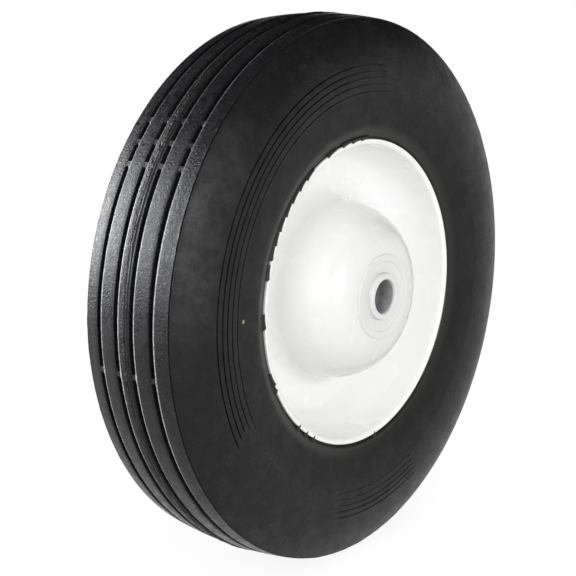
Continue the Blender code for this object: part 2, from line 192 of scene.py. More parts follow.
def mesh_from_grid(name, points, material, flip=False):
    """A closed ring from points[profile, angle, 3]."""
    rows, columns = points.shape[:2]
    a = np.arange(rows * columns).reshape(rows, columns)
    b = np.roll(a, -1, axis=0)
    quads = np.stack([a, b, np.roll(b, -1, axis=1), np.roll(a, -1, axis=1)], axis=-1).reshape(-1, 4)
    if flip:
        quads = quads[:, ::-1]
    mesh = bpy.data.meshes.new(name)
    mesh.vertices.add(rows * columns)
    mesh.vertices.foreach_set("co", points.reshape(-1).astype(np.float32))
    mesh.loops.add(quads.size)
    mesh.loops.foreach_set("vertex_index", quads.reshape(-1).astype(np.int32))
    mesh.polygons.add(len(quads))
    mesh.polygons.foreach_set("loop_start", np.arange(0, quads.size, 4, dtype=np.int32))
    mesh.update(calc_edges=True)
    mesh.validate()
    mesh.shade_smooth()
    mesh.set_sharp_from_angle(angle=math.radians(40))
    mesh.materials.append(material)
    obj = bpy.data.objects.new(name, mesh)
    bpy.context.scene.collection.objects.link(obj)
    return obj


def grid(radius, offset, angles, side):
    """Points of a turned surface. Radius and offset are [profile, angle] or [profile, 1]."""
    cos, sin = np.cos(angles)[None, :], np.sin(angles)[None, :]
    return np.stack([radius * cos, side * offset + 0 * cos, radius * sin], axis=-1)


def turned(name, path, steps, side, material, flip):
    """A closed ring with the same profile all the way round."""
    path = np.array(path)
    angles = np.linspace(0, math.tau, steps, endpoint=False)
    return mesh_from_grid(name, grid(path[:, :1], path[:, 1:], angles, side), material, flip)


def stand_in(obj, body, replaced):
    """Makes a piece ride on its body, in place of one CAD node."""
    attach(obj, body)
    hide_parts(replaced)
    return obj


def arc(centre, radius, start, end, steps):
    turns = np.radians(np.linspace(start, end, steps + 1))
    return [(centre[0] + radius * math.cos(t), centre[1] + radius * math.sin(t)) for t in turns]


def rounded(points, radii, steps=4):
    """A closed path whose corners are rounded. Radii holds one value for each point, 0 to keep it sharp."""
    made = []
    for i, radius in enumerate(radii):
        corner = Vector(points[i])
        if radius <= 0:
            made.append(tuple(corner))
            continue
        before, after = Vector(points[i - 1]) - corner, Vector(points[(i + 1) % len(points)]) - corner
        longest = 0.48 * before.length, 0.48 * after.length
        before.normalize(), after.normalize()
        half = math.acos(max(-1.0, min(1.0, before.dot(after)))) / 2
        reach = min(radius / math.tan(half), *longest)
        start, end = corner + before * reach, corner + after * reach
        for t in (k / steps for k in range(steps + 1)):
            point = start * (1 - t) ** 2 + corner * 2 * t * (1 - t) + end * t**2
            made.append((point.x, point.y))
    return made


def offset_path(path, distance):
    """The path moved sideways by a distance, parallel to itself."""
    along = np.gradient(path, axis=0)
    along /= np.linalg.norm(along, axis=1)[:, None]
    return path + distance * np.stack([along[:, 1], -along[:, 0]], axis=1)


def ring_noise(angles, scale, level):
    """Smooth noise along a circle, the same each run. A larger scale makes finer lumps."""
    ring = [Vector((math.cos(a) * scale, math.sin(a) * scale, level)) for a in angles]
    return np.array([noise.noise(point) for point in ring])


def value_noise(angles, seed, scale):
    return ring_noise(angles, scale, seed * 7.31)


# Node tools


class Nodes:
    """Short calls for building the nodes of a material or the world."""

    def __init__(self, owner):
        owner.use_nodes = True
        self.tree = owner.node_tree

    def node(self, kind, **values):
        made = self.tree.nodes.new(kind)
        for key, value in values.items():
            setattr(made, key, value)
        return made

    def link(self, a, b):
        self.tree.links.new(a, b)

    def feed(self, socket, value):
        """Sets a number or a colour on the socket, or links another node's output to it."""
        if isinstance(value, (int, float)):
            socket.default_value = value
        elif isinstance(value, tuple):
            socket.default_value = (*value, 1.0)
        else:
            self.link(value, socket)

    def ramp(self, source, stops):
        """A smooth step. The stops are the source's start and end and the result's start and end."""
        made = self.node("ShaderNodeMapRange", interpolation_type="SMOOTHSTEP")
        for name, stop in zip(("From Min", "From Max", "To Min", "To Max"), stops):
            made.inputs[name].default_value = stop
        self.link(source, made.inputs["Value"])
        return made.outputs["Result"]

    def window(self, source, rise, fall):
        """1 between a rise and a fall, which are each a start and an end."""
        return self.times(self.ramp(source, (*rise, 0.0, 1.0)), self.ramp(source, (*fall, 1.0, 0.0)))

    def math(self, operation, *values):
        made = self.node("ShaderNodeMath", operation=operation)
        for socket, value in zip(made.inputs, values):
            self.feed(socket, value)
        return made.outputs[0]

    def plus(self, a, b):
        return self.math("ADD", a, b)

    def minus(self, a, b):
        return self.math("SUBTRACT", a, b)

    def times(self, a, b):
        return self.math("MULTIPLY", a, b)

    def larger(self, a, b):
        return self.math("MAXIMUM", a, b)

    def smaller(self, a, b):
        return self.math("MINIMUM", a, b)

    def length(self, a, b):
        return self.math("SQRT", self.plus(self.times(a, a), self.times(b, b)))

    def shown_directly(self):
        """1 for the rays that see the studio itself: the camera's, glossy and transmitted ones."""
        path = self.node("ShaderNodeLightPath")
        seen = self.larger(path.outputs["Is Camera Ray"], path.outputs["Is Glossy Ray"])
        return self.larger(seen, path.outputs["Is Transmission Ray"])

    def surface(self, share, first, second, output):
        """Ends in first where the share is 0 and in second where it is 1."""
        mixed = self.node("ShaderNodeMixShader")
        for socket, value in zip(mixed.inputs, (share, first, second)):
            self.link(value, socket)
        self.link(mixed.outputs[0], output.inputs["Surface"])


class Surface(Nodes):
    """The nodes of one material, from the piece's own coordinates to its Principled shader."""

    def __init__(self, name):
        self.material = bpy.data.materials.new(name)
        super().__init__(self.material)
        self.shader = self.tree.nodes["Principled BSDF"]
        self.output = self.tree.nodes["Material Output"]
        self.coords = self.node("ShaderNodeTexCoord").outputs["Object"]

    def noise(self, scale, detail=3.0, roughness=0.55, distortion=0.0):
        made = self.node("ShaderNodeTexNoise")
        names = ("Scale", "Detail", "Roughness", "Distortion")
        for name, value in zip(names, (scale, detail, roughness, distortion)):
            made.inputs[name].default_value = value
        self.link(self.coords, made.inputs["Vector"])
        return made.outputs["Fac"]

    def mix(self, factor, a, b):
        made = self.node("ShaderNodeMix", data_type="RGBA")
        for index, value in ((0, factor), (6, a), (7, b)):
            self.feed(made.inputs[index], value)
        return made.outputs[2]

    def bump(self, height, distance, strength=1.0):
        made = self.node("ShaderNodeBump")
        made.inputs["Strength"].default_value = strength
        made.inputs["Distance"].default_value = distance
        self.link(height, made.inputs["Height"])
        return made.outputs["Normal"]

    def axes(self):
        split = self.node("ShaderNodeSeparateXYZ")
        self.link(self.coords, split.inputs[0])
        return split.outputs

    def radius(self):
        """Distance from the axle line."""
        x, _, z = self.axes()
        return self.length(x, z)

    def distance_from(self, place):
        made = self.node("ShaderNodeVectorMath", operation="DISTANCE")
        self.link(self.coords, made.inputs[0])
        made.inputs[1].default_value = place
        return made.outputs["Value"]

    def set(self, **values):
        for key, value in values.items():
            self.feed(self.shader.inputs[key.replace("_", " ")], value)
        return self.material


# Materials


def rubber_material():
    """Dull black rubber: pitted on the tread, cloudy with dust on the sidewall and paler in a patch of dust
    and painted sheen, smooth towards the bead.
    """
    n = Surface("black_rubber")
    radius = n.radius()
    _, across, height = n.axes()
    tread = n.ramp(radius, (0.1238, 0.1250, 0.0, 1.0))
    zone = SimpleNamespace(
        across=across,
        height=height,
        tread=tread,
        outer=n.window(radius, (0.100, 0.112), (0.1232, 0.1250)),
        plain=n.ramp(radius, (0.090, 0.094, 1.0, 0.0)),
        bead=n.ramp(radius, (ROLL_END + 0.0008, ROLL_START, 1.0, 0.0)),
        seam=n.times(n.window(across, (-0.0004, 0.0), (0.0018, 0.0022)), tread),
    )
    grain = SimpleNamespace(
        cloud=n.noise(38.0, 4.0, 0.6, distortion=0.4),
        patch=n.noise(150.0, 4.0, 0.65),
        grit=n.noise(850.0, 3.0, 0.65),
        pits=n.noise(1500.0, 2.0, 0.6),
    )
    return n.set(Base_Color=rubber_colour(n, zone, grain), Roughness=rubber_roughness(n, zone, grain),
                 Specular_IOR_Level=0.19, Normal=rubber_relief(n, zone, grain))


def rubber_colour(n, zone, grain):
    """Black, then dust with a patch of painted sheen, pale grains, the torn seam, painted highlights on the
    grooves' near edges, the speck and the bead's band of painted reflection.
    """
    tone = n.mix(n.ramp(grain.patch, (0.40, 0.66, 0.0, 1.0)), RUBBER_DARK, RUBBER_PALE)
    dust = n.times(n.ramp(grain.cloud, (0.46, 0.66, 0.0, 1.0)), zone.outer)
    haze = n.times(dust, n.ramp(grain.patch, (0.38, 0.68, 0.15, 1.0)))
    # A paler patch of dust on the near sidewall, which also stands in for its sheen: painted sheen
    dust_sheen = n.times(n.ramp(n.distance_from(DUST_SHEEN_PLACE), (0.018, 0.055, 1.0, 0.0)), zone.outer)
    mottle = n.plus(grain.patch, n.times(grain.cloud, 0.6))
    dust_sheen = n.times(dust_sheen, n.ramp(mottle, (0.60, 1.0, 0.25, 1.0)))
    tone = n.mix(n.larger(n.times(haze, 0.3), dust_sheen), tone, DUST_AND_SHEEN_TONE)
    grains = n.ramp(grain.pits, (0.60, 0.74, 0.0, 1.0))
    grains = n.times(grains, n.ramp(grain.cloud, (0.35, 0.7, 0.10, 0.55)))
    tone = n.mix(n.times(grains, n.minus(1.0, zone.plain)), tone, GRAINS)
    tone = n.mix(n.times(zone.seam, n.ramp(grain.pits, (0.42, 0.56, 0.9, 0.0))), tone, SEAM_BLACK)
    # Painted highlight along the grooves' near edges
    tone = n.mix(painted_edge_highlight(n, zone, grain), tone, EDGE_HIGHLIGHT_COLOUR)
    speck = n.plus(n.distance_from(SPECK_PLACE), n.times(grain.grit, 0.0008))
    tone = n.mix(n.ramp(speck, (0.0010, 0.0014, 1.0, 0.0)), tone, SPECK_TONE)
    # The bead's roll painted paler, as a painted reflection
    return n.mix(n.times(zone.bead, 0.8), tone, BEAD_REFLECTION_TONE)


def painted_edge_highlight(n, zone, grain):
    """Painted highlight: pale bands on the grooves' near edges, where they catch the light, which fade
    towards the wheel's top and its bottom.
    """
    ragged = n.times(n.minus(grain.patch, 0.5), 0.0008)
    worn = None
    for place in HIGHLIGHT_EDGE_PLACES:
        away = n.math("ABSOLUTE", n.minus(zone.across, place))
        band = n.ramp(n.plus(away, ragged), (0.00022, 0.00055, 1.0, 0.0))
        worn = band if worn is None else n.larger(worn, band)
    worn = n.times(n.times(worn, zone.tread), n.ramp(grain.grit, (0.35, 0.6, 0.45, 1.0)))
    # The painted highlight fades out towards the top and the bottom, where the edges no longer catch the
    # light
    below_top = n.ramp(zone.height, (0.034, 0.066, 1.0, 0.2))
    above_bottom = n.ramp(zone.height, (-0.095, -0.030, 0.12, 1.0))
    return n.times(worn, n.smaller(below_top, above_bottom))


def rubber_roughness(n, zone, grain):
    """Satin, mottled on the tread, duller on the sidewall's plain inner part and glossier at the bead."""
    fine = n.times(n.ramp(grain.grit, (0.3, 0.7, 0.0, 1.0)), 0.10)
    rough = n.plus(n.ramp(grain.patch, (0.32, 0.68, 0.42, 0.35)), fine)
    rough = n.plus(rough, n.times(zone.plain, 0.08))
    rough = n.minus(rough, n.times(zone.tread, 0.11))
    rough = n.minus(rough, n.times(zone.bead, 0.16))
    mottle = n.minus(n.ramp(n.noise(400.0, 5.0, 0.72), (0.38, 0.62, 0.0, 1.0)), 0.5)
    return n.plus(rough, n.times(n.times(mottle, zone.tread), 0.17))


def rubber_relief(n, zone, grain):
    """Fine grain, strongest in the torn seam and weakest on the sidewall's plain inner part."""
    share = n.plus(n.times(zone.tread, 0.55), n.minus(0.45, n.times(zone.plain, 0.3)))
    share = n.plus(share, n.times(zone.seam, 1.6))
    height = n.plus(grain.grit, n.times(grain.pits, 0.45))
    height = n.plus(height, n.times(grain.patch, 0.2))
    return n.bump(n.times(height, share), 0.00022, 0.9)


def tinted(colour, share, green, blue):
    """The colour times a share, with its green and its blue a little lower still."""
    return tuple(share * c for c in (colour[0], colour[1] * green, colour[2] * blue))


def paint_material(name, colour, roughness, peel, dome_shade=1.0):
    """Glossy sprayed paint with a faint orange peel and a few small marks, with painted shade that makes it
    greyer over the dome.
    """
    n = Surface(name)
    cloud = n.ramp(n.noise(9.0, 2.0, 0.5), (0.35, 0.70, 0.0, 1.0))
    tone = n.mix(cloud, colour, tinted(colour, 1.0, 0.992, 0.98))
    # Painted shade: the dome is given a greyer tone than the dish
    dome_shade_mask = n.ramp(n.radius(), (DOME_RADIUS - 0.004, DOME_RADIUS + 0.007, 1.0, 0.0))
    tone = n.mix(dome_shade_mask, tone, tinted(colour, dome_shade, 0.995, 0.985))
    marks = n.ramp(n.noise(310.0, 2.0, 0.5), (0.74, 0.82, 0.0, 0.05))
    tone = n.mix(marks, tone, tinted(colour, 0.8, 1.0, 1.0))
    rough = n.ramp(n.noise(60.0, 2.0, 0.5), (0.3, 0.7, roughness * 0.92, roughness * 1.1))
    normal = n.bump(n.noise(190.0, 1.0, 0.5), peel)
    return n.set(Base_Color=tone, Roughness=rough, Specular_IOR_Level=0.30, Coat_Weight=0.3,
                 Coat_Roughness=0.04, Normal=normal)


def steel_material(name, colour, roughness, rings, metallic):
    """Turned metal: fine rings round the axle, with a mottled polish."""
    n = Surface(name)
    wave = n.math("SINE", n.times(n.radius(), rings))
    patch = n.noise(220.0, 4.0, 0.6)
    tone = n.mix(n.ramp(patch, (0.3, 0.75, 0.0, 1.0)), colour, tinted(colour, 0.72, 1.0, 1.0))
    rough = n.ramp(n.noise(500.0, 3.0, 0.6), (0.3, 0.7, roughness * 0.8, roughness * 1.3))
    height = n.plus(n.times(wave, 0.4), n.noise(700.0, 2.0, 0.5))
    return n.set(Base_Color=tone, Metallic=metallic, Roughness=rough, Normal=n.bump(height, 0.00004))


def nylon_material():
    n = Surface("cage_nylon")
    patch = n.noise(300.0, 3.0, 0.5)
    tone = n.mix(patch, (0.72, 0.69, 0.58), (0.80, 0.77, 0.68))
    rough = n.ramp(patch, (0.3, 0.7, 0.4, 0.55))
    return n.set(Base_Color=tone, Roughness=rough, Subsurface_Weight=0.1,
                 Normal=n.bump(n.noise(900.0, 2.0), 0.00003))


# Tyre


def crown_drop(offset):
    return CROWN_RADIUS - math.sqrt(CROWN_RADIUS**2 - offset**2)


def tread_radius(offset):
    """The crowned tread, which is flat across the middle rib."""
    return TYRE_RADIUS - crown_drop(max(abs(offset), CENTRE_RIB_EDGE)) + crown_drop(CENTRE_RIB_EDGE)


def tyre_angles():
    """Even steps round the tyre, with closer ones at each end of each tie bar."""
    angles = list(np.radians(np.arange(0, 360, 1.0)))
    half = TIE_HALF_LENGTH / TYRE_RADIUS
    for tie in np.radians(TIE_ANGLES):
        angles = [a for a in angles if abs((a - tie + math.pi) % math.tau - math.pi) > half + 0.012]
        for end in (-1, 1):
            for step in (0.0115, 0.0085, 0.0055, 0.0030, 0.0013, 0.0, -0.0015):
                angles.append((tie + end * (half + step)) % math.tau)
    return np.array(sorted(angles))


def stretch(angles, start, end, fade_in, fade_out):
    """1 on a stretch of the ring and 0 elsewhere, with straight fades inside its ends. All in degrees."""
    degrees = np.degrees(angles) % 360
    return np.clip((degrees - start) / fade_in, 0, 1) * np.clip((end - degrees) / fade_out, 0, 1)


def middle_rib(angles):
    """The middle rib's points. Its torn band is lumpy, and its ridge of flash wanders from side to side."""
    coarse, medium, fine = (value_noise(angles, seed, scale)
                            for seed, scale in ((41, 12.0), (31, 48.0), (37, 90.0)))
    rib = np.array(MIDDLE_RIB)
    radius = (tread_radius(0.0) + rib[:, 1:2]) * np.ones(len(angles))
    for row, (offset, height, rough, _) in zip(radius, rib):
        if rough:
            row += rough * (0.00034 * ring_noise(angles, 70, offset * 1600) + 0.00018 * fine)
        if height:
            row += height * (0.5 * coarse + 0.35 * medium)
    drift = 0.0009 * stretch(angles, 165, 330, 35, 60)
    wander = 0.00022 * coarse + 0.00012 * medium - np.minimum(drift, 0.00055)
    return grid(radius, rib[:, :1] + rib[:, 3:4] * wander, angles, FAR)


def groove_edge(soft):
    """One edge of a groove, from the rib down to the floor: distance from the middle, and depth."""
    if soft:
        edge = list(GROOVE_SOFT)
    else:
        edge = [(GROOVE_WALL + GROOVE_CRISP * (1 - math.sin(a)), GROOVE_CRISP * (1 - math.cos(a)))
                for a in np.radians((0, 45, 90))]
    wall = GROOVE_SOFT[-1][0] if soft else GROOVE_WALL
    return edge + [(wall - 0.00006, GROOVE_DEPTH - 0.0004), (wall - 0.0003, GROOVE_DEPTH)]


def tread_half(side):
    """Half of the tread beyond the middle rib: rows of radius, offset, depth and whether the edge is worn.
    Each groove's edge towards -Y is the worn one."""
    rows = []
    for groove in GROOVES:
        for edge in (-1, 1):
            soft = edge == -side
            steps = groove_edge(soft)
            for across, depth in steps if edge < 0 else reversed(steps):
                offset = groove + edge * across
                rows.append((tread_radius(offset) - depth, offset, depth, float(soft)))
        rows += [(tread_radius(offset), offset, 0.0, 0.0) for offset in RIB_MIDDLES[groove]]
    return rows


def tie_share(angles, foot, power):
    """1 where a tie bar fills the grooves, 0 elsewhere, with the given foot towards larger angles."""
    share = np.zeros(len(angles))
    half = TIE_HALF_LENGTH / TYRE_RADIUS
    for tie in np.radians(TIE_ANGLES):
        turn = (angles - tie + math.pi) % math.tau - math.pi
        away = np.where(turn > 0, (turn - half) / foot, (-turn - half) / CRISP_FOOT[0])
        share = np.maximum(share, np.where(away <= 0, 1.0, np.clip(1 - away, 0, 1) ** power))
    return share


def tread_points(angles, side):
    """The ribs and grooves of one half, which waver a little, with the tie bars across the grooves."""
    rows = np.array(tread_half(side))
    fill = np.clip(rows[:, 2:3] - 0.00012, 0, None)
    ties = np.where(rows[:, 3:4] > 0, tie_share(angles, *WORN_FOOT), tie_share(angles, *CRISP_FOOT))
    wobble = 0.00010 * value_noise(angles, 2 + side, 5.0) + 0.00005 * value_noise(angles, 12 + side, 22.0)
    return grid(rows[:, :1] + fill * ties, rows[:, 1:2] + wobble, angles, side)


def shoulder_points(angles, side):
    """The mould's parting line where the tread meets the sidewall, with a little flash along it."""
    edge = tread_radius(TREAD_HALF)
    rows = np.array([(edge + 0.00004, TREAD_HALF - 0.0006, 0.0), (edge, TREAD_HALF - 0.00016, 1.0),
                     (edge - 0.00055, TREAD_HALF - 0.00010, 0.0),
                     (edge - 0.00050, TREAD_HALF + 0.00022, 0.0)])
    flash = np.clip(value_noise(angles, 71 + side, 26.0) - 0.05, 0, 1)
    flash *= 0.3 + 0.7 * stretch(angles, 132, 204, 6, 12)
    flash *= 1.0 if side == NEAR else 0.4
    return grid(rows[:, :1] + 0.0004 * rows[:, 2:3] * flash, rows[:, 1:2] + 0.0005 * rows[:, 2:3] * flash,
                angles, side)


def side_arc(end, tip, steps):
    """A round stretch of sidewall from end to tip, where it runs straight towards the axle."""
    rise, run = tip[1] - end[1], end[0] - tip[0]
    radius = (rise**2 + run**2) / (2 * rise)
    centre = (tip[0], tip[1] - radius)
    start = math.degrees(math.atan2(end[1] - centre[1], end[0] - centre[0]))
    return arc(centre, radius, start, 90.0, steps)


def roll_drop(radius):
    """How far the bead's roll falls away from the sidewall towards the lip."""
    share = max(0.0, (ROLL_START - radius) / (ROLL_START - ROLL_END))
    return 0.5 * math.tan(math.radians(ROLL_TILT)) * (ROLL_START - ROLL_END) * share**2


def sidewall_half():
    """From the shoulder over the bead to the hidden seat: rows of radius, offset, line depth and line
    number, which is -1 between the lines."""
    shoulder = (tread_radius(TREAD_HALF) - 0.0006, TREAD_HALF + 0.00030)
    upper = side_arc(shoulder, WIDEST, 10)
    lower = side_arc((2 * WIDEST[0] - BEAD[0], BEAD[1]), WIDEST, 8)
    wall = np.array(upper + [(2 * WIDEST[0] - r, o) for r, o in reversed(lower[:-1])])
    places = [(r, 0.0, -1) for r in wall[:, 0] if all(abs(r - line[0]) > 0.0007 for line in SIDE_LINES)]
    places += [(r, 0.0, -1) for r in ROLL_RADII]
    for number, (line, half, *_) in enumerate(SIDE_LINES):
        places += [(line + half + LINE_BEVEL, 0.0, number), (line + half, 1.0, number),
                   (line - half, 1.0, number), (line - half - LINE_BEVEL, 0.0, number)]
    places.sort(reverse=True)
    order = np.argsort(wall[:, 0])
    rows = [(r, float(np.interp(r, wall[order, 0], wall[order, 1])) - roll_drop(r), cut, number)
            for r, cut, number in places]
    start = 90 + ROLL_TILT
    centre = (ROLL_END - BEAD_ROUND * math.cos(math.radians(start)),
              BEAD[1] - roll_drop(ROLL_END) - BEAD_ROUND * math.sin(math.radians(start)))
    rows += [(r, o, 0.0, -1) for r, o in arc(centre, BEAD_ROUND, start, 170, 6)[1:]]
    rows += [(r, o, 0.0, -1) for r, o in seat_path()]
    return rows


def sidewall_points(angles, side):
    """One sidewall, with its fine lines cut in a long arc and a short one."""
    rows = np.array(sidewall_half())
    offset = rows[:, 1:2] * np.ones(len(angles))
    short = SHORT_ARC_DEPTH * stretch(angles, *SHORT_ARC, 3.0, 3.0)
    for number, (_, _, depth, start, stop) in enumerate(SIDE_LINES):
        cut = rows[:, 3] == number
        degrees = np.degrees(angles) % 360
        long = np.clip((degrees - start) / 20.0, 0, 1) ** 0.7 * np.clip((stop - degrees) / 0.6, 0, 1)
        broken = 1 + (0.15 + 0.16 * number) * value_noise(angles, 50 + number, 70.0)
        offset[cut] -= rows[cut, 2:3] * depth * (np.maximum(long, short) * broken)
    return grid(rows[:, :1], offset, angles, side)


def make_tyre(material):
    """One closed ring: the far half from its seat outwards, the middle rib, and the near half inwards."""
    angles = tyre_angles()
    far, near = (np.concatenate([tread_points(angles, side), shoulder_points(angles, side),
                                 sidewall_points(angles, side)]) for side in (FAR, NEAR))
    points = np.concatenate([far[::-1], middle_rib(angles), near])
    obj = mesh_from_grid("tyre_rubber", points, material)
    add_tags(obj)
    return stand_in(obj, "wheel", "tyre")


def add_tags(obj):
    """Tags of rubber that lap over the white lip, joined to the tyre's mesh: broad ones round the top and
    left, and thin needles beyond."""
    made = bmesh.new()
    made.from_mesh(obj.data)
    for side in (NEAR, FAR):
        last = TAG_ANGLES[0] - 5.0
        for i, degrees in enumerate(TAG_ANGLES):
            chance = noise.noise(Vector((i * 3.7, 1.3, side)))
            needle = degrees > FIRST_NEEDLE_ANGLE
            reach = (0.0015 if needle else 0.00070) + 0.0003 * chance
            tail = 1.5 if needle else min(5.0, 0.85 * (degrees - last))
            last = degrees
            add_tag(made, math.radians(degrees), math.radians(tail), reach, side, needle)
    made.to_mesh(obj.data)
    made.free()


def add_tag(made, angle, tail, reach, side, needle):
    """One closed tag, which rises slowly to its tip and ends steeply."""
    columns = []
    root, overlap = BEAD[0] - 0.0011, 0.00025
    for t in (0.0, 0.3, 0.6, 0.85, 0.97, 1.0, 1.03, 1.10):
        rise = t ** (3.5 if needle else 1.5) if t <= 1 else max(0.0, 1 - (t - 1) / 0.10) ** 2
        at = angle - tail * (1 - t) if t <= 1 else angle + (t - 1) * math.radians(5.0)
        inner = LIP[0] + overlap - (reach + overlap) * rise
        section = ((root, LIP[1] + 0.0003), (inner + 0.0001, LIP[1] + 0.00022),
                   (inner, LIP[1] + 0.00008), (root, LIP[1] - 0.0009))
        columns.append([made.verts.new((r * math.cos(at), side * y, r * math.sin(at))) for r, y in section])
    for a, b in zip(columns, columns[1:]):
        for k in range(4):
            face = (a[k], a[(k + 1) % 4], b[(k + 1) % 4], b[k])
            made.faces.new(face if side == NEAR else face[::-1]).smooth = True
    made.faces.new(columns[0] if side == FAR else columns[0][::-1])
    made.faces.new(columns[-1][::-1] if side == FAR else columns[-1])


# Wheel disc


def dish_path(steps):
    """The dish's visible face, from the foot of the dome to the bend of its lip."""
    foot = (DOME_RADIUS + DOME_OFFSET - HALF_GAP - SHEET, HALF_GAP + SHEET)
    top = LIP[1] - LIP_BEND
    path = []
    for t in np.linspace(0.0, 0.5 * math.pi, steps):
        across, down = math.sin(t) ** DISH_POWER, math.cos(t) ** DISH_POWER
        path.append((foot[0] + (WALL_RADIUS - foot[0]) * across, top - (top - foot[1]) * down))
    return np.array(path)


def seat_path():
    """The tyre's hidden underside, down the back of the dish to where the rubber is narrow."""
    seat = offset_path(dish_path(6), SEAT_DEPTH)
    return seat[seat[:, 1] > 0.0033][::-1]


def disc_front():
    """The visible face of one pressed half, from the collar's inside out to the lip's edge."""
    path = [(COLLAR_RADIUS, HUB_FACE - COLLAR_DEPTH)]
    path += arc((COLLAR_RADIUS + COLLAR_BEND, HUB_FACE - COLLAR_BEND), COLLAR_BEND, 180, 90, 6)
    flat = FLANGE_RADIUS + 0.0006
    for t in np.linspace(0.0, 0.5 * math.pi, 29):
        path.append((flat + (DOME_RADIUS - flat) * math.sin(t),
                     DOME_OFFSET + (HUB_FACE - DOME_OFFSET) * math.cos(t)))
    fillet = DOME_OFFSET - HALF_GAP - SHEET
    path += arc((DOME_RADIUS + fillet, DOME_OFFSET), fillet, 180, 270, 14)[1:]
    path += [tuple(point) for point in dish_path(27)[1:]]
    path += arc((WALL_RADIUS + LIP_BEND, LIP[1] - LIP_BEND), LIP_BEND, 180, 90, 8)[1:]
    path += [(LIP[0] - LIP_EDGE, LIP[1]), (LIP[0], LIP[1] - LIP_EDGE)]
    return np.array(path)


def make_disc(name, side, material, replaced):
    """One pressed half: the visible face, and a coarser hidden back that is parallel to it."""
    front = disc_front()
    back = offset_path(front, SHEET)[::-3][1:]
    path = np.concatenate([front, [(LIP[0], LIP[1] - SHEET)], back])
    obj = turned(name, path, DISC_STEPS, side, material, side == NEAR)
    return stand_in(obj, "wheel", replaced)


# Bearings


def make_flange(word, side, paint):
    """The flanged outer race. Its ball groove is hidden."""
    race = arc(BALL_CENTRE, RACE_RADIUS, -CUP_RACE, CUP_RACE, 10)
    path = [(FLANGE_RADIUS, FLANGE_FRONT), (FLANGE_RADIUS, FLANGE_BACK), (0.01755, FLANGE_BACK),
            (0.01745, CUP_END), (CUP_LAND, CUP_END)]
    path += race + [(CUP_LAND, MOUTH_FLOOR), (MOUTH_RADIUS, MOUTH_FLOOR),
                    (MOUTH_RADIUS, FLANGE_FRONT - 0.0003)]
    radii = [0.0005, 0.0001, 0, 0.0003, 0.0003] + [0] * len(race) + [0, 0, 0.0001]
    obj = turned(f"{word}_flange", rounded(path, radii), 192, side, paint, side == FAR)
    stand_in(obj, "wheel", f"{word}_bearing_cup")


def make_shield(word, side, paint):
    """The ring between the flange and the inner ring, which slopes in towards the bore."""
    path = [(0.01614, FLANGE_FRONT - 0.00036), (0.01614, 0.0363), (0.01095, 0.0363), (0.01095, 0.0372),
            (0.0125, 0.0375), (0.0145, 0.0380)]
    radii = (0.0001, 0, 0, 0.0001, 0.002, 0.002)
    obj = turned(f"{word}_shield", rounded(path, radii), 144, side, paint, side == FAR)
    stand_in(obj, "wheel", f"{word}_bearing_shield")


def make_collar(word, side, paint, steel, dark):
    """The inner ring: turned lines on its face and outside, a painted mouth with a line in it, and a bare
    bore that widens a little and is painted darker deeper in, as painted shade. Its ball groove is hidden."""
    front = RING_FRONT
    wide = BORE + BORE_RELIEF
    path = [(0.00935, front), (0.00938, front - 0.00010), (0.00950, front - 0.00010), (0.00953, front),
            (0.01025, front), (0.01068, front - 0.0003), (RING_RADIUS, front - 0.0006)]
    path += [(RING_LINE, front - 0.00064), (RING_LINE, front - 0.00084), (RING_RADIUS, front - 0.00088),
             (RING_RADIUS, front - 0.0013), (RING_LINE, front - 0.00134), (RING_LINE, front - 0.0018),
             (RING_RADIUS, front - 0.0019), (RING_RADIUS, RING_STEP), (RING_LAND, RING_STEP)]
    path += arc(BALL_CENTRE, RACE_RADIUS, 180 - RING_RACE, 180 + RING_RACE, 8)
    path += [(RING_LAND, RING_END), (wide, RING_END), (wide, front - 0.0068), (BORE, front - BORE_SHADE_DEPTH)]
    path += [(BORE, front - 0.00175), (BORE + 0.00012, front - 0.0017), (BORE + 0.00012, front - 0.00155),
             (BORE, front - 0.0015), (BORE, front - 0.0006), (BORE + 0.0003, front - 0.0001),
             (BORE + 0.0006, front)]
    radii = [0, 0, 0, 0, 0.0003, 0.0002] + [0] * (len(path) - 8) + [0.0002, 0.0002]
    obj = turned(f"{word}_collar", rounded(path, radii), 144, side, paint, side == FAR)
    stand_in(obj, "axle_set", f"{word}_inner_ring")
    obj.data.materials.append(steel)
    obj.data.materials.append(dark)
    for polygon in obj.data.polygons:
        radius, offset = math.hypot(polygon.center.x, polygon.center.z), abs(polygon.center.y)
        if radius < BORE + 0.0002 and offset < front - 0.0016:
            # Painted shade: the bore's deepest part takes the darker material
            polygon.material_index = 2 if offset < front - BORE_SHADE_DEPTH else 1


def make_bearings(paint, ring_paint, bore_steel, tube_steel, ball_steel, nylon):
    for side, word in ((NEAR, "near"), (FAR, "far")):
        make_flange(word, side, paint)
        make_shield(word, side, paint)
        make_collar(word, side, ring_paint, bore_steel, tube_steel)
    outer, inner = TUBE_RADII
    tube = [(outer, TUBE_END), (outer, -TUBE_END), (inner, -TUBE_END), (inner, TUBE_END)]
    obj = turned("axle_spacer", rounded(tube, (0.0002,) * 4), 96, FAR, tube_steel, True)
    stand_in(obj, "axle_set", "spacer_tube")
    for name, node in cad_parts.items():
        if "_ball_" in name:
            node.data.materials.clear()
            node.data.materials.append(nylon if "_ball_cage" in name else ball_steel)


# Stage


def stage_disc(name, radius, height, material):
    bpy.ops.mesh.primitive_circle_add(vertices=96, radius=radius, fill_type="NGON", location=(0, 0, height))
    disc = bpy.context.object
    disc.name = name
    disc.data.materials.append(material)


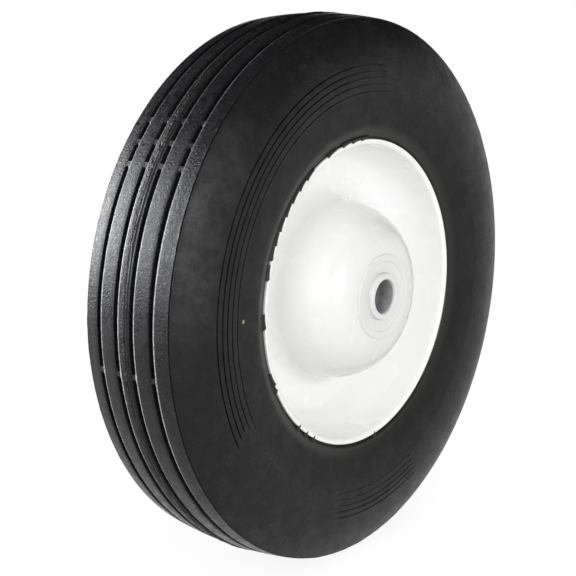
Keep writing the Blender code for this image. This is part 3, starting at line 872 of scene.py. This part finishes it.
def make_floor():
    """A wide pale floor that shows plain white to the camera, less the wheel's soft shadow."""
    n = Surface("floor_white")
    n.set(Base_Color=(0.86, 0.86, 0.86), Roughness=0.9, Specular_IOR_Level=0.0)
    shadowed = n.node("ShaderNodeBsdfDiffuse")
    shadowed.inputs["Color"].default_value = (0.24, 0.24, 0.24, 1.0)
    x, y, _ = n.axes()
    glow = n.node("ShaderNodeEmission")
    n.link(n.ramp(n.length(x, y), (0.3, 2.2, 0.87, 0.98)), glow.inputs["Strength"])
    added = n.node("ShaderNodeAddShader")
    n.link(shadowed.outputs[0], added.inputs[0])
    n.link(glow.outputs[0], added.inputs[1])
    n.surface(n.shown_directly(), n.shader.outputs[0], added.outputs[0], n.output)
    stage_disc("floor", 6.0, -TYRE_RADIUS - FLOOR_GAP, n.material)


def make_ceiling():
    """The studio's dark ceiling, which fades out towards its edge. It keeps the tyre's top dark."""
    n = Surface("ceiling_dark")
    n.set(Base_Color=(0.03, 0.03, 0.03), Roughness=0.95, Specular_IOR_Level=0.0)
    clear = n.node("ShaderNodeBsdfTransparent")
    x, y, _ = n.axes()
    path = n.node("ShaderNodeLightPath")
    soft = n.larger(path.outputs["Is Diffuse Ray"], path.outputs["Is Shadow Ray"])
    fade = n.ramp(n.length(x, y), (8.5, 14.5, 0.0, 1.0))
    n.surface(n.larger(soft, fade), n.shader.outputs[0], clear.outputs[0], n.output)
    stage_disc("ceiling", 15.0, 2.0, n.material)


def make_world():
    """A dim even light that shows as plain white behind the wheel."""
    world = bpy.data.worlds.new("white_studio")
    n = Nodes(world)
    n.tree.nodes.clear()
    seen = n.shown_directly()
    shades = []
    for strength in (WORLD_STRENGTH, 1.0):
        shade = n.node("ShaderNodeBackground")
        shade.inputs["Color"].default_value = (*WHITE, 1.0)
        shade.inputs["Strength"].default_value = strength
        shades.append(shade.outputs[0])
    n.surface(seen, *shades, n.node("ShaderNodeOutputWorld"))
    bpy.context.scene.world = world


def towards(azimuth, elevation):
    """The direction at an azimuth from +X towards +Y and an elevation, both in degrees."""
    a, e = math.radians(azimuth), math.radians(elevation)
    return (math.cos(a) * math.cos(e), math.sin(a) * math.cos(e), math.sin(e))


def make_lamp(name, direction, size, power, colour=WHITE):
    """A soft box that looks at the wheel from the given direction."""
    lamp = bpy.data.lights.new(name, "AREA")
    lamp.shape = "RECTANGLE"
    lamp.size, lamp.size_y = size
    lamp.energy = power
    lamp.color = colour
    obj = bpy.data.objects.new(name, lamp)
    outward = Vector(direction).normalized()
    obj.location = outward * LAMP_DISTANCE
    obj.rotation_mode = "QUATERNION"
    obj.rotation_quaternion = outward.to_track_quat("Z", "Y")
    bpy.context.scene.collection.objects.link(obj)
    return obj


def light_wheel(tyre):
    """Narrow lamps that graze the tread and broad ones for the rest. The narrow ones light the tyre alone,
    so that they don't burn out the far disc."""
    rim = [make_lamp(f"rim_box_{number}", towards(azimuth, elevation), (0.3, 0.3), power, COOL)
           for number, (azimuth, elevation, power) in enumerate(RIM_LAMPS, 1)]
    rim.append(make_lamp("edge_box", towards(98, 8), (0.2, 0.5), 10.0, COOL))
    lit = bpy.data.collections.new("rim_lit")
    lit.objects.link(tyre)
    for lamp in rim:
        lamp.light_linking.receiver_collection = lit
    make_lamp("front_box", (-0.23, -0.95, 0.20), (0.5, 0.62), 9.6)
    make_lamp("left_box", towards(-150, 8), (1.4, 0.6), 5.6)
    make_lamp("high_box", towards(-150, 36), (1.2, 1.0), 6.1)
    make_lamp("top_box", towards(-90, 66), (1.2, 1.2), 3.4)
    make_lamp("rear_box", towards(99, 12), (1.0, 0.6), 14.0)


def make_camera():
    """The camera that took the photograph."""
    azimuth, elevation = math.radians(CAMERA_AZIMUTH), math.radians(CAMERA_ELEVATION)
    place = CAMERA_DISTANCE * Vector((math.sin(azimuth) * math.cos(elevation),
                                      -math.cos(azimuth) * math.cos(elevation), math.sin(elevation)))
    world_up = Vector((0, 0, 1))
    ahead = -place.normalized()
    right = ahead.cross(world_up).normalized()
    aside, upwards = (math.tan(math.radians(angle)) for angle in CAMERA_AIM)
    ahead = (ahead + aside * right + upwards * right.cross(ahead)).normalized()
    right = ahead.cross(world_up).normalized()
    up = right.cross(ahead)
    roll = math.radians(CAMERA_ROLL)
    right, up = right * math.cos(roll) + up * math.sin(roll), up * math.cos(roll) - right * math.sin(roll)
    data = bpy.data.cameras.new("camera")
    data.sensor_width = SENSOR
    data.lens = FOCAL_PIXELS / PHOTO_SIZE * SENSOR
    data.clip_start, data.clip_end = 0.05, 30.0
    obj = bpy.data.objects.new("camera", data)
    turn = Matrix((right, up, -ahead)).transposed().to_4x4()
    obj.matrix_world = Matrix.Translation(place) @ turn
    bpy.context.scene.collection.objects.link(obj)
    bpy.context.scene.camera = obj


def main():
    rubber = rubber_material()
    paint = paint_material("white_paint", (0.945, 0.95, 0.947), 0.26, 0.000008, dome_shade=0.885)
    flange_paint = paint_material("flange_paint", (0.80, 0.81, 0.806), 0.30, 0.00001)
    ring_paint = paint_material("ring_paint", (0.78, 0.775, 0.76), 0.32, 0.00001)
    bore_steel = steel_material("bore_steel", (0.52, 0.52, 0.535), 0.55, 30000.0, 0.2)
    tube_steel = steel_material("tube_steel", (0.42, 0.42, 0.445), 0.60, 30000.0, 0.2)
    ball_steel = steel_material("ball_steel", (0.72, 0.72, 0.74), 0.15, 9000.0, 1.0)
    make_camera()
    tyre = make_tyre(rubber)
    make_disc("near_disc", NEAR, paint, "near_rim_half")
    make_disc("far_disc", FAR, paint, "far_rim_half")
    make_bearings(flange_paint, ring_paint, bore_steel, tube_steel, ball_steel, nylon_material())
    make_floor()
    make_ceiling()
    make_world()
    light_wheel(tyre)
    bpy.context.scene.view_settings.view_transform = "Standard"


main()
